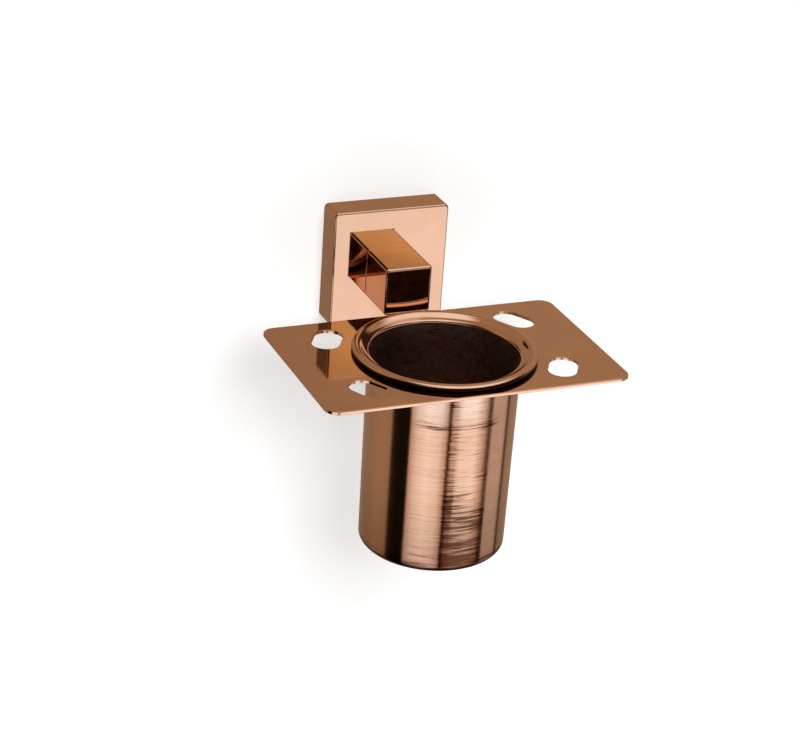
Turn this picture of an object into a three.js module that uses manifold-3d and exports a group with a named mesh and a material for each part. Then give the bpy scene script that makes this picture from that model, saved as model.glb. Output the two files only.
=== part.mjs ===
// A wall-mounted tumbler and toothbrush holder: a square wall cover, a short square arm,
// a thin plate with four brush slots, and a metal tumbler that hangs in the plate by its lip.
// Millimetres, +Z up. The origin is on the wall, at the middle of the wall bracket, and the
// holder reaches out from the wall along -Y.

import * as THREE from "three";
import { mergeVertices } from "three/addons/utils/BufferGeometryUtils.js";
import Module from "manifold-3d";

const wasm = await Module();
wasm.setup();

// Driving dimensions.
const COVER_SIDE = 55;
const COVER_DEPTH = 14;
const COVER_CORNER = 2;
const COVER_EDGE = 0.8;
const COVER_WALL = 2;
const COVER_FRONT_WALL = 2.5;

const ARM_SIDE = 22;
const ARM_FRONT = 37.5;
const ARM_CORNER = 1;
const ARM_EDGE = 0.9;
const ARM_CENTRE_Z = -2.5;

const PLATE_WIDTH = 139;
const PLATE_DEPTH = 86.5;
const PLATE_THICKNESS = 1.5;
const PLATE_CORNER = 6;
const TAB_WIDTH = 18;
const TAB_LENGTH = 20;
const CUP_HOLE_RADIUS = 35;

const SLOT_LENGTH = 20;
const SLOT_WIDTH = 12.5;
const SLOT_DISTANCE = 51.5;
const SLOT_ANGLE = 30;

const CUP_TOP_RADIUS = 33.45;
const CUP_BOTTOM_RADIUS = 32.55;
const CUP_WALL = 0.8;
const CUP_DROP = 91;
const CUP_CORNER = 3.3;
const CUP_FOOT_RADIUS = 25.5;
const CUP_FOOT_STEP = 1.2;
const CUP_FOOT_RECESS = 0.8;
const THROAT_RADIUS = 3;
const THROAT_DROP = 1.8;
const BEAD_RADIUS = 1.5;
const LIP_RADIUS = 40.5;

const BRACKET_WIDTH = 38;
const BRACKET_THICKNESS = 4.5;
const BRACKET_BACK_HEIGHT = 33;
const BRACKET_FRONT_HEIGHT = 38;
const HOOK_WIDTH = 28;
const WALL_HOLE_RADIUS = 2.3;
const WALL_HOLE_SPACING = 22;

const SET_SCREW_RADIUS = 2;
const SET_SCREW_TIP_RADIUS = 0.8;
const SET_SCREW_LENGTH = 7.5;
const SET_SCREW_Y = -3.4;
const SET_SCREW_TOP = -18.9;
const SET_SCREW_SOCKET = 1.15;
const SET_SCREW_SOCKET_DEPTH = 2.5;
const SET_SCREW_CHAMFER = 0.3;
const BOSS_WIDTH = 10;
const BOSS_DEPTH = 7;
const BOSS_HEIGHT = 3;

const ARM_SCREW_RADIUS = 3;
const ARM_SCREW_LENGTH = 16;
const ARM_SCREW_HEAD_RADIUS = 5;
const ARM_SCREW_HEAD_HEIGHT = 3.3;
const ARM_SCREW_SOCKET = 2.3;
const ARM_SCREW_SOCKET_DEPTH = 2.2;
const ARM_SCREW_HEAD_CHAMFER = 0.4;
const ARM_SCREW_END_CHAMFER = 0.8;
const WASHER_THICKNESS = 1.2;
const WASHER_RADIUS = 6;
const SPRING_WASHER_GAP = 0.12;
const PIN_RADIUS = 2;
const PIN_LENGTH = 9;
const PIN_RISE = 7;
const PIN_CHAMFER = 0.4;

const PLATE_SCREW_RADIUS = 1.5;
const PLATE_SCREW_LENGTH = 8;
const PLATE_SCREW_HEAD_RADIUS = 2.8;
const PLATE_SCREW_PITCH = 9;
const PLATE_SCREW_SOCKET = 1.15;
const PLATE_SCREW_SOCKET_DEPTH = 0.9;
const PLATE_SCREW_HEAD_EDGE = 0.1;
const PLATE_SCREW_CHAMFER = 0.5;
const PLATE_SCREW_SHIFT = 1;

// Gaps: CLEARANCE lies round a shank in its hole, TOUCH between faces that press together.
const CLEARANCE = 0.3;
const TOUCH = 0.05;
const ROUND_STEPS = 24;
const CUP_STEPS = 60;
const SLOT_END_STEPS = 12;
const HEX_SIDES = 6;

// Places worked out from the dimensions above.
const PLATE_TOP = ARM_CENTRE_Z - ARM_SIDE / 2 - TOUCH;
const PLATE_BOTTOM = PLATE_TOP - PLATE_THICKNESS;
const PLATE_CENTRE_Y = -(ARM_FRONT + PLATE_DEPTH / 2);
const CAVITY_DEPTH = COVER_DEPTH - COVER_FRONT_WALL;
const CAVITY_HALF = COVER_SIDE / 2 - COVER_WALL;
const WASHER_HEIGHT = WASHER_THICKNESS - 2 * TOUCH;

const copperPolished = new THREE.MeshStandardMaterial({ color: 0xdd9a78, roughness: 0.1, metalness: 1 });
const copperPlate = new THREE.MeshStandardMaterial({ color: 0xc98660, roughness: 0.18, metalness: 1 });
const copperBrushed = new THREE.MeshStandardMaterial({ color: 0xd28f6c, roughness: 0.32, metalness: 1 });
const steel = new THREE.MeshStandardMaterial({ color: 0xb4b8bc, roughness: 0.35, metalness: 1 });

// Turns a closed three.js geometry into a solid that can be joined and cut.
function solidOf(geometry) {
  const plain = geometry.clone();
  plain.deleteAttribute("normal");
  plain.deleteAttribute("uv");
  const merged = mergeVertices(plain, 1e-4);
  const vertProperties = new Float32Array(merged.attributes.position.array);
  const triVerts = new Uint32Array(merged.index.array);
  return new wasm.Manifold(new wasm.Mesh({ numProp: 3, vertProperties, triVerts }));
}

function geometryOf(solid) {
  const mesh = solid.getMesh();
  const positions = new Float32Array(mesh.numVert * 3);
  for (let i = 0; i < mesh.numVert; i += 1) {
    positions.set(mesh.vertProperties.subarray(i * mesh.numProp, i * mesh.numProp + 3), i * 3);
  }
  const geometry = new THREE.BufferGeometry();
  geometry.setAttribute("position", new THREE.BufferAttribute(positions, 3));
  geometry.setIndex(new THREE.BufferAttribute(new Uint32Array(mesh.triVerts), 1));
  geometry.computeVertexNormals();
  return geometry;
}

function block([x0, y0, z0], [x1, y1, z1]) {
  const geometry = new THREE.BoxGeometry(x1 - x0, y1 - y0, z1 - z0);
  return geometry.translate((x0 + x1) / 2, (y0 + y1) / 2, (z0 + z1) / 2);
}

// A round bar that starts at a point and runs outwards from the wall, along -Y.
function barOut(x, z, radius, yStart, yEnd, steps = ROUND_STEPS) {
  const bar = new THREE.CylinderGeometry(radius, radius, yStart - yEnd, steps);
  return bar.translate(x, (yStart + yEnd) / 2, z);
}

// A round bar that stands up along Z.
function barUp(x, y, radius, zStart, zEnd, steps = ROUND_STEPS) {
  const bar = new THREE.CylinderGeometry(radius, radius, zEnd - zStart, steps);
  return bar.rotateX(Math.PI / 2).translate(x, y, (zStart + zEnd) / 2);
}

function roundedRectangle(width, height, radius) {
  const x = width / 2;
  const y = height / 2;
  const shape = new THREE.Shape();
  shape.moveTo(-x + radius, -y);
  shape.lineTo(x - radius, -y);
  shape.absarc(x - radius, -y + radius, radius, -Math.PI / 2, 0);
  shape.lineTo(x, y - radius);
  shape.absarc(x - radius, y - radius, radius, 0, Math.PI / 2);
  shape.lineTo(-x + radius, y);
  shape.absarc(-x + radius, y - radius, radius, Math.PI / 2, Math.PI);
  shape.lineTo(-x, -y + radius);
  shape.absarc(-x + radius, -y + radius, radius, Math.PI, Math.PI * 1.5);
  return shape;
}

// A square bar with rounded corners whose front end, away from the wall, has a softened edge.
function squareOut(side, corner, edge, yBack, yFront) {
  const shape = roundedRectangle(side, side, corner);
  const geometry = new THREE.ExtrudeGeometry(shape, {
    depth: yBack - yFront,
    curveSegments: 4,
    bevelEnabled: true,
    bevelThickness: edge,
    bevelSize: edge,
    bevelOffset: -edge,
    bevelSegments: 3,
  });
  geometry.rotateX(Math.PI / 2).translate(0, yBack + edge, 0);
  const behind = block([-side, yBack, -side], [side, yBack + 3 * edge, side]);
  return solidOf(geometry).subtract(solidOf(behind));
}

function makeCover() {
  const outer = squareOut(COVER_SIDE, COVER_CORNER, COVER_EDGE, 0, -COVER_DEPTH);
  const cavity = block(
    [-CAVITY_HALF, -CAVITY_DEPTH, -CAVITY_HALF],
    [CAVITY_HALF, 1, CAVITY_HALF],
  );
  const boss = block(
    [-BOSS_WIDTH / 2, -BOSS_DEPTH, -CAVITY_HALF - TOUCH],
    [BOSS_WIDTH / 2, -CLEARANCE, -CAVITY_HALF + BOSS_HEIGHT],
  );
  const setScrewHole = barUp(
    0, SET_SCREW_Y, SET_SCREW_RADIUS + CLEARANCE,
    -COVER_SIDE / 2 - 1, -CAVITY_HALF + BOSS_HEIGHT + 1,
  );
  const armScrewHole = barOut(
    0, ARM_CENTRE_Z, ARM_SCREW_RADIUS + CLEARANCE,
    -CAVITY_DEPTH + 1, -COVER_DEPTH - 1,
  );
  const pinHole = barOut(
    0, ARM_CENTRE_Z + PIN_RISE, PIN_RADIUS + CLEARANCE,
    -CAVITY_DEPTH + 1, -COVER_DEPTH - 1,
  );
  let cover = outer.subtract(solidOf(cavity)).add(solidOf(makeHook())).add(solidOf(boss));
  for (const hole of [setScrewHole, armScrewHole, pinHole]) {
    cover = cover.subtract(solidOf(hole));
  }
  return geometryOf(cover);
}

// A bar across X whose section is given as points of Y and Z.
function barAcross(points, width) {
  const section = new THREE.Shape(points.map(([y, z]) => new THREE.Vector2(y, z)));
  const bar = new THREE.ExtrudeGeometry(section, { depth: width, bevelEnabled: false });
  const turned = new THREE.Matrix4().makeBasis(
    new THREE.Vector3(0, 1, 0),
    new THREE.Vector3(0, 0, 1),
    new THREE.Vector3(1, 0, 0),
  );
  return bar.applyMatrix4(turned).translate(-width / 2, 0, 0);
}

// The ledge under the cover's top wall that hangs behind the bracket's bevelled top edge.
function makeHook() {
  const back = BRACKET_BACK_HEIGHT / 2 + CLEARANCE;
  const front = BRACKET_FRONT_HEIGHT / 2 + CLEARANCE;
  const points = [
    [-CLEARANCE, back],
    [-CLEARANCE, CAVITY_HALF + TOUCH],
    [-BRACKET_THICKNESS, CAVITY_HALF + TOUCH],
    [-BRACKET_THICKNESS, front],
  ];
  return barAcross(points, HOOK_WIDTH);
}

// The wall bracket is undercut along its top and bottom edges: the cover hooks over the top
// one, and the set screw's tip wedges under the bottom one.
function makeBracket() {
  const points = [
    [0, -BRACKET_BACK_HEIGHT / 2],
    [0, BRACKET_BACK_HEIGHT / 2],
    [-BRACKET_THICKNESS, BRACKET_FRONT_HEIGHT / 2],
    [-BRACKET_THICKNESS, -BRACKET_FRONT_HEIGHT / 2],
  ];
  let bracket = solidOf(barAcross(points, BRACKET_WIDTH));
  for (const side of [-1, 1]) {
    bracket = bracket.subtract(solidOf(makeCountersunkHole(side * WALL_HOLE_SPACING / 2)));
  }
  return geometryOf(bracket);
}

// The space that a countersunk wall screw takes, with its wide end away from the wall.
function makeCountersunkHole(z) {
  const flare = WALL_HOLE_RADIUS * 2;
  const profile = [
    new THREE.Vector2(0, -1),
    new THREE.Vector2(WALL_HOLE_RADIUS, -1),
    new THREE.Vector2(WALL_HOLE_RADIUS, BRACKET_THICKNESS - WALL_HOLE_RADIUS),
    new THREE.Vector2(flare, BRACKET_THICKNESS),
    new THREE.Vector2(flare, BRACKET_THICKNESS + 1),
    new THREE.Vector2(0, BRACKET_THICKNESS + 1),
  ];
  return new THREE.LatheGeometry(profile, ROUND_STEPS).rotateX(Math.PI).translate(0, 0, z);
}

// A grub screw standing in the cover's underside, its socket down and its cone point up.
function makeSetScrew() {
  const bottom = SET_SCREW_TOP - SET_SCREW_LENGTH;
  const cone = SET_SCREW_RADIUS - SET_SCREW_TIP_RADIUS;
  const profile = [
    new THREE.Vector2(0, bottom),
    new THREE.Vector2(SET_SCREW_RADIUS - SET_SCREW_CHAMFER, bottom),
    new THREE.Vector2(SET_SCREW_RADIUS, bottom + SET_SCREW_CHAMFER),
    new THREE.Vector2(SET_SCREW_RADIUS, SET_SCREW_TOP - cone),
    new THREE.Vector2(SET_SCREW_TIP_RADIUS, SET_SCREW_TOP),
    new THREE.Vector2(0, SET_SCREW_TOP),
  ];
  const body = new THREE.LatheGeometry(profile, ROUND_STEPS).rotateX(Math.PI / 2);
  const socketEnd = bottom + SET_SCREW_SOCKET_DEPTH;
  const socket = barUp(0, 0, SET_SCREW_SOCKET, bottom - 1, socketEnd, HEX_SIDES);
  return geometryOf(solidOf(body).subtract(solidOf(socket)));
}

function makeArm() {
  let arm = squareOut(ARM_SIDE, ARM_CORNER, ARM_EDGE, -COVER_DEPTH - TOUCH, -ARM_FRONT);
  const screwEnd = -CAVITY_DEPTH + 2 * WASHER_THICKNESS - ARM_SCREW_LENGTH;
  const screwHole = barOut(0, 0, ARM_SCREW_RADIUS + CLEARANCE, -COVER_DEPTH + 1, screwEnd - 1);
  const pinHole = barOut(
    0, PIN_RISE, PIN_RADIUS + CLEARANCE,
    -COVER_DEPTH + 1, -COVER_DEPTH - PIN_LENGTH,
  );
  arm = arm.subtract(solidOf(screwHole)).subtract(solidOf(pinHole));
  const drillEnd = -ARM_SIDE / 2 + PLATE_SCREW_LENGTH - PLATE_THICKNESS + CLEARANCE;
  for (const y of plateScrewPlaces()) {
    const hole = barUp(0, y, PLATE_SCREW_RADIUS + CLEARANCE, -ARM_SIDE / 2 - 1, drillEnd);
    arm = arm.subtract(solidOf(hole));
  }
  return geometryOf(arm);
}

// How far out from the wall the two screws under the arm stand.
function plateScrewPlaces() {
  const middle = -(ARM_FRONT - TAB_LENGTH / 2) + PLATE_SCREW_SHIFT;
  return [middle + PLATE_SCREW_PITCH / 2, middle - PLATE_SCREW_PITCH / 2];
}

// The screw that pulls the arm against the cover, made pointing along -Y from its head's face.
function makeArmScrew() {
  const head = ARM_SCREW_HEAD_HEIGHT;
  const end = head + ARM_SCREW_LENGTH;
  const profile = [
    new THREE.Vector2(0, 0),
    new THREE.Vector2(ARM_SCREW_HEAD_RADIUS - ARM_SCREW_HEAD_CHAMFER, 0),
    new THREE.Vector2(ARM_SCREW_HEAD_RADIUS, ARM_SCREW_HEAD_CHAMFER),
    new THREE.Vector2(ARM_SCREW_HEAD_RADIUS, head),
    new THREE.Vector2(ARM_SCREW_RADIUS, head),
    new THREE.Vector2(ARM_SCREW_RADIUS, end - ARM_SCREW_END_CHAMFER),
    new THREE.Vector2(ARM_SCREW_RADIUS - ARM_SCREW_END_CHAMFER, end),
    new THREE.Vector2(0, end),
  ];
  const body = new THREE.LatheGeometry(profile, ROUND_STEPS).rotateX(Math.PI);
  const socket = barOut(0, 0, ARM_SCREW_SOCKET, 1, -ARM_SCREW_SOCKET_DEPTH, HEX_SIDES);
  return geometryOf(solidOf(body).subtract(solidOf(socket)));
}

function makeWasher() {
  const inner = ARM_SCREW_RADIUS + CLEARANCE;
  const profile = [
    new THREE.Vector2(inner, 0),
    new THREE.Vector2(WASHER_RADIUS, 0),
    new THREE.Vector2(WASHER_RADIUS, WASHER_HEIGHT),
    new THREE.Vector2(inner, WASHER_HEIGHT),
    new THREE.Vector2(inner, 0),
  ];
  return new THREE.LatheGeometry(profile, ROUND_STEPS).rotateX(Math.PI);
}

// A spring washer is a ring with a narrow cut through one side.
function makeSpringWasher() {
  const inner = ARM_SCREW_RADIUS + CLEARANCE;
  const outer = ARM_SCREW_HEAD_RADIUS;
  const ring = new THREE.Shape();
  ring.absarc(0, 0, outer, SPRING_WASHER_GAP, Math.PI * 2 - SPRING_WASHER_GAP);
  ring.absarc(0, 0, inner, Math.PI * 2 - SPRING_WASHER_GAP, SPRING_WASHER_GAP, true);
  ring.closePath();
  const geometry = new THREE.ExtrudeGeometry(ring, {
    depth: WASHER_HEIGHT,
    curveSegments: ROUND_STEPS / 2,
    bevelEnabled: false,
  });
  return geometry.rotateX(Math.PI / 2);
}

function makePin() {
  const profile = [
    new THREE.Vector2(0, 0),
    new THREE.Vector2(PIN_RADIUS - PIN_CHAMFER, 0),
    new THREE.Vector2(PIN_RADIUS, PIN_CHAMFER),
    new THREE.Vector2(PIN_RADIUS, PIN_LENGTH - PIN_CHAMFER),
    new THREE.Vector2(PIN_RADIUS - PIN_CHAMFER, PIN_LENGTH),
    new THREE.Vector2(0, PIN_LENGTH),
  ];
  return new THREE.LatheGeometry(profile, ROUND_STEPS).rotateX(Math.PI);
}

// The plate's outline, with the tab that runs back under the arm. Its middle is at 0, 0.
function plateOutline() {
  const shape = roundedRectangle(PLATE_WIDTH, PLATE_DEPTH, PLATE_CORNER);
  const points = shape.getPoints(8);
  const rear = PLATE_DEPTH / 2;
  const tab = [
    new THREE.Vector2(TAB_WIDTH / 2, rear),
    new THREE.Vector2(TAB_WIDTH / 2, rear + TAB_LENGTH),
    new THREE.Vector2(-TAB_WIDTH / 2, rear + TAB_LENGTH),
    new THREE.Vector2(-TAB_WIDTH / 2, rear),
  ];
  const lastOnRight = points.findLastIndex((point) => point.x > 0 && Math.abs(point.y - rear) < 1e-6);
  points.splice(lastOnRight + 1, 0, ...tab);
  return new THREE.Shape(points);
}

// A brush slot: a long hole with round ends, set square to the line from the tumbler's centre.
function brushSlot(angle) {
  const radius = SLOT_WIDTH / 2;
  const half = SLOT_LENGTH / 2 - radius;
  const x = SLOT_DISTANCE * Math.cos(angle);
  const y = SLOT_DISTANCE * Math.sin(angle);
  const points = [];
  for (const end of [0, Math.PI]) {
    for (let i = 0; i <= SLOT_END_STEPS; i += 1) {
      const turn = end - Math.PI / 2 + (i / SLOT_END_STEPS) * Math.PI;
      const along = Math.cos(end) * half + Math.cos(turn) * radius;
      const across = Math.sin(turn) * radius;
      points.push(new THREE.Vector2(
        x - along * Math.sin(angle) + across * Math.cos(angle),
        y + along * Math.cos(angle) + across * Math.sin(angle),
      ));
    }
  }
  return new THREE.Path(points);
}

function makePlate() {
  const outline = plateOutline();
  const cupHole = new THREE.Path();
  cupHole.absarc(0, 0, CUP_HOLE_RADIUS, 0, Math.PI * 2);
  const cupHolePoints = cupHole.getPoints(CUP_STEPS / 2).slice(0, -1);
  outline.holes.push(new THREE.Path(cupHolePoints));
  const slope = THREE.MathUtils.degToRad(SLOT_ANGLE);
  for (const angle of [slope, Math.PI - slope, Math.PI + slope, -slope]) {
    outline.holes.push(brushSlot(angle));
  }
  const sheet = new THREE.ExtrudeGeometry(outline, { depth: PLATE_THICKNESS, bevelEnabled: false });
  sheet.translate(0, PLATE_CENTRE_Y, PLATE_BOTTOM);
  let plate = solidOf(sheet);
  for (const y of plateScrewPlaces()) {
    const countersink = makePlateScrewBody(CLEARANCE).translate(0, y, PLATE_BOTTOM);
    plate = plate.subtract(solidOf(countersink));
  }
  return geometryOf(plate);
}

// A countersunk screw standing on its head, or the hole for it where room is added all round.
function makePlateScrewBody(room) {
  const head = PLATE_SCREW_HEAD_RADIUS + room;
  const shank = PLATE_SCREW_RADIUS + room;
  const taper = head - shank;
  const length = PLATE_SCREW_LENGTH;
  const profile = [
    new THREE.Vector2(0, -room),
    new THREE.Vector2(head, -room),
    new THREE.Vector2(head, PLATE_SCREW_HEAD_EDGE),
    new THREE.Vector2(shank, PLATE_SCREW_HEAD_EDGE + taper),
    new THREE.Vector2(shank, length - PLATE_SCREW_CHAMFER),
    new THREE.Vector2(shank - PLATE_SCREW_CHAMFER, length),
    new THREE.Vector2(0, length),
  ];
  return new THREE.LatheGeometry(profile, ROUND_STEPS).rotateX(Math.PI / 2);
}

function makePlateScrew() {
  const socket = barUp(0, 0, PLATE_SCREW_SOCKET, -1, PLATE_SCREW_SOCKET_DEPTH, HEX_SIDES);
  return geometryOf(solidOf(makePlateScrewBody(0)).subtract(solidOf(socket)));
}

// Points on an arc, in order, as a lathe profile's radius and height.
function arcPoints(radius, height, size, fromDegrees, toDegrees, steps) {
  const points = [];
  for (let i = 0; i <= steps; i += 1) {
    const turn = THREE.MathUtils.degToRad(fromDegrees + ((toDegrees - fromDegrees) * i) / steps);
    points.push(new THREE.Vector2(radius + size * Math.cos(turn), height + size * Math.sin(turn)));
  }
  return points;
}

// The tumbler's section, heights counted from the plate's top: the outside from the middle of
// the foot up, the rolled bead and flared lip, and the inside down to the middle of the floor.
function tumblerProfile() {
  const throat = new THREE.Vector2(CUP_TOP_RADIUS - CUP_WALL + THROAT_RADIUS, -THROAT_DROP);
  const bead = new THREE.Vector2(LIP_RADIUS - BEAD_RADIUS, BEAD_RADIUS + TOUCH);
  const step = bead.clone().sub(throat);
  const tilt = Math.atan2(step.y, step.x) + Math.acos((THROAT_RADIUS - BEAD_RADIUS) / step.length());
  const lipAngle = THREE.MathUtils.radToDeg(tilt);
  const underAngle = THREE.MathUtils.radToDeg(Math.acos((BEAD_RADIUS - CUP_WALL) / BEAD_RADIUS));
  const cornerRadius = CUP_BOTTOM_RADIUS - CUP_CORNER;
  const cornerHeight = -CUP_DROP + CUP_CORNER;
  const insideCorner = CUP_CORNER - CUP_WALL;
  const floor = -CUP_DROP + CUP_FOOT_RECESS;
  return [
    new THREE.Vector2(0, floor),
    new THREE.Vector2(CUP_FOOT_RADIUS, floor),
    new THREE.Vector2(CUP_FOOT_RADIUS + CUP_FOOT_STEP, -CUP_DROP),
    ...arcPoints(cornerRadius, cornerHeight, CUP_CORNER, -90, 0, 5),
    ...arcPoints(throat.x, throat.y, THROAT_RADIUS - CUP_WALL, 180, lipAngle, 4),
    ...arcPoints(bead.x, bead.y, BEAD_RADIUS, lipAngle + underAngle - 360, lipAngle, 10),
    ...arcPoints(throat.x, throat.y, THROAT_RADIUS, lipAngle, 180, 4),
    ...arcPoints(cornerRadius, cornerHeight, insideCorner, 0, -90, 4),
    new THREE.Vector2(CUP_FOOT_RADIUS + CUP_FOOT_STEP, -CUP_DROP + CUP_WALL),
    new THREE.Vector2(CUP_FOOT_RADIUS, floor + CUP_WALL),
    new THREE.Vector2(0, floor + CUP_WALL),
  ];
}

function makeTumbler() {
  return new THREE.LatheGeometry(tumblerProfile(), CUP_STEPS).rotateX(Math.PI / 2);
}

const holder = new THREE.Group();

function addPart(name, geometry, material, place = [0, 0, 0]) {
  const mesh = new THREE.Mesh(geometry, material);
  mesh.name = name;
  mesh.position.set(...place);
  holder.add(mesh);
}

const washerBack = -CAVITY_DEPTH + TOUCH + WASHER_HEIGHT;
const springWasherBack = washerBack + WASHER_THICKNESS;
const headBack = -CAVITY_DEPTH + 2 * WASHER_THICKNESS + ARM_SCREW_HEAD_HEIGHT;
const pinBack = -CAVITY_DEPTH - CLEARANCE;

addPart("wall_bracket", makeBracket(), steel);
addPart("wall_cover", makeCover(), copperPolished);
addPart("cover_set_screw", makeSetScrew(), steel, [0, SET_SCREW_Y, 0]);
addPart("arm", makeArm(), copperPolished, [0, 0, ARM_CENTRE_Z]);
addPart("arm_screw", makeArmScrew(), steel, [0, headBack, ARM_CENTRE_Z]);
addPart("arm_washer", makeWasher(), steel, [0, washerBack, ARM_CENTRE_Z]);
addPart("arm_spring_washer", makeSpringWasher(), steel, [0, springWasherBack, ARM_CENTRE_Z]);
addPart("arm_locating_pin", makePin(), steel, [0, pinBack, ARM_CENTRE_Z + PIN_RISE]);
addPart("holder_plate", makePlate(), copperPlate);
plateScrewPlaces().forEach((y, index) => {
  const name = ["plate_screw_rear", "plate_screw_front"][index];
  addPart(name, makePlateScrew(), steel, [0, y, PLATE_BOTTOM + TOUCH]);
});
addPart("tumbler", makeTumbler(), copperBrushed, [0, PLATE_CENTRE_Y, PLATE_TOP]);

export default holder;
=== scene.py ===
"""Wall-mounted tumbler and toothbrush holder in a rose-copper finish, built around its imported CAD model.

Every piece is made in metres in the CAD frame: the wall is the plane y = 0, the holder reaches out
along -Y, and +Z is up.
"""

import math

import bpy
from mathutils import Matrix, Vector
from mathutils.geometry import tessellate_polygon


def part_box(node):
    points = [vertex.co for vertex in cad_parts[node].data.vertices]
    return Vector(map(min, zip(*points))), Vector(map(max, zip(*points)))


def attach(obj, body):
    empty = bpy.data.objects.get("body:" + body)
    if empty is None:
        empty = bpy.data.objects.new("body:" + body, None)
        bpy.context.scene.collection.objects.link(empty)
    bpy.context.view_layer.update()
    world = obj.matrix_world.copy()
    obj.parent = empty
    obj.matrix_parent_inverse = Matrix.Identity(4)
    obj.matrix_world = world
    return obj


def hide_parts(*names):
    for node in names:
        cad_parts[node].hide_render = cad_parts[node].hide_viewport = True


MM = 0.001
HAIR = 0.05 * MM

# Camera: its bearing, height and roll in degrees, the point it looks at, and its lens.
CAMERA_AZIMUTH = -23.74
CAMERA_ELEVATION = 25.08
CAMERA_ROLL = 3.96
CAMERA_DISTANCE = 1.0515
CAMERA_TARGET = Vector((-0.01370, -0.0659, -0.03026))
CAMERA_LENS = 108.03

# Sizes that the CAD boxes don't give, in metres.
COVER_CORNER = 2 * MM
COVER_EDGE = 0.9 * MM
COVER_INNER_CORNER = 1 * MM
COVER_REAR_EDGE = 0.2 * MM
COVER_WALL = 2 * MM
COVER_FRONT_WALL = 2.5 * MM
BOSS_HALF_WIDTH = 5 * MM
BOSS_REACH = 7 * MM
BOSS_REAR = 0.3 * MM
BOSS_HEIGHT = 3 * MM
SET_SCREW_ROOM = 0.1 * MM
ARM_CORNER = 1.3 * MM
ARM_EDGE = 1.3 * MM
ARM_ROOT_EDGE = 0.6 * MM
PLATE_DEPTH = 86.5 * MM
PLATE_CORNER = 6 * MM
PLATE_EDGE = 0.25 * MM
TAB_WIDTH = 18 * MM
CUP_HOLE_RADIUS = 35 * MM
SLOT_LENGTH = 20 * MM
SLOT_WIDTH = 12.5 * MM
SLOT_DISTANCE = 51.5 * MM
SLOT_ANGLE = math.radians(30)
CUP_TOP_RADIUS = 33.45 * MM
CUP_BOTTOM_RADIUS = 32.55 * MM
CUP_WALL = 0.8 * MM
CUP_CORNER = 3.3 * MM
CUP_FOOT_RADIUS = 25.5 * MM
CUP_FOOT_STEP = 1.2 * MM
CUP_FOOT_RECESS = 0.8 * MM
NECK_RADIUS = 0.7 * MM
LEDGE_GAP = 0.2 * MM
BEAD_WIDTH = 4.4 * MM
BEAD_HEIGHT = 3 * MM
FLARE_TOP_SLOPE = 40
FLARE_FOOT_SLOPE = 16
BRACKET_BACK_HEIGHT = 33 * MM
BRACKET_EDGE = 0.3 * MM
WALL_SCREW_RISE = 11 * MM
WALL_SCREW_HOLE = 2.3 * MM
HOOK_HALF_WIDTH = 14 * MM
HOOK_PLAY = 0.3 * MM
PIN_RISE = 7 * MM
PIN_HOLE = 2.1 * MM
COVER_SCREW_HOLE = 3.3 * MM
WASHER_HOLE = 3.3 * MM
ARM_SCREW_HOLE = 3.1 * MM
PLATE_SCREW_HOLE = 1.6 * MM
SMALL_SOCKET = 1.15 * MM
LARGE_SOCKET = 2.3 * MM
SET_SCREW_PITCH = 0.7 * MM
CUT_PAST = 1 * MM
ROUND_STEPS = 64
CUP_STEPS = 256
CUP_HOLE_STEPS = 128
SLOT_END_STEPS = 20
HEXAGON = 6
CORNER_STEPS = 10
EDGE_STEPS = 6

UP = Vector((0, 0, 1))
OUT = Vector((0, -1, 0))

# Where the tumbler's painted shade lies at its front, by distance across from the middle and by height.
LEFT_BAND = (-31 * MM, -12 * MM)
RIGHT_BAND = (-9 * MM, 9.5 * MM)
UPRIGHT_LINE = (-8.5 * MM, -6.5 * MM)
TURNED_LINE_HEIGHT = -33.5 * MM
TURNED_LINE_SHADE_SPOT = -7.5 * MM
# Painted shade grows darker towards the bottom between these two heights.
SHADE_BELOW_TOP = -62 * MM
SHADE_BELOW_BOTTOM = -102 * MM

COPPER = (0.87, 0.505, 0.30)
# The pale copper is a painted highlight, the inside colour is painted shade, and the deep brown serves for
# dark marks and painted shade.
PAINTED_HIGHLIGHT_COPPER = (0.97, 0.67, 0.46)
CUP_INSIDE_SHADE = (0.56, 0.41, 0.33)
DEEP_BROWN = (0.11, 0.036, 0.015)
STEEL = (0.60, 0.60, 0.61)

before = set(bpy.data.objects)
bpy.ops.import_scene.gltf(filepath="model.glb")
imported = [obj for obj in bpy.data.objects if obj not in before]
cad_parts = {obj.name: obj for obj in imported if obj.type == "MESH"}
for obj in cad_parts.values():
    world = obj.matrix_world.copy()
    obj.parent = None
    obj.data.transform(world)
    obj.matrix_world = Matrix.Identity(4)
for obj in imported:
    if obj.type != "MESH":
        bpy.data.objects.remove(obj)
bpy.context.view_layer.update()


# Mesh making


def mesh_piece(name, points, faces):
    mesh = bpy.data.meshes.new(name)
    mesh.from_pydata([tuple(p) for p in points], [], faces)
    mesh.validate()
    piece = bpy.data.objects.new(name, mesh)
    bpy.context.scene.collection.objects.link(piece)
    return piece


def loft(name, loops):
    """Joins loops of equally many points with quads, and closes the first and the last."""
    count = len(loops[0])
    points = [p for loop in loops for p in loop]
    faces = [list(range(count))[::-1]]
    for i in range(len(loops) - 1):
        for j in range(count):
            k = (j + 1) % count
            faces.append([i * count + j, i * count + k, (i + 1) * count + k, (i + 1) * count + j])
    last = (len(loops) - 1) * count
    faces.append([last + j for j in range(count)])
    return mesh_piece(name, points, faces)


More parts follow.
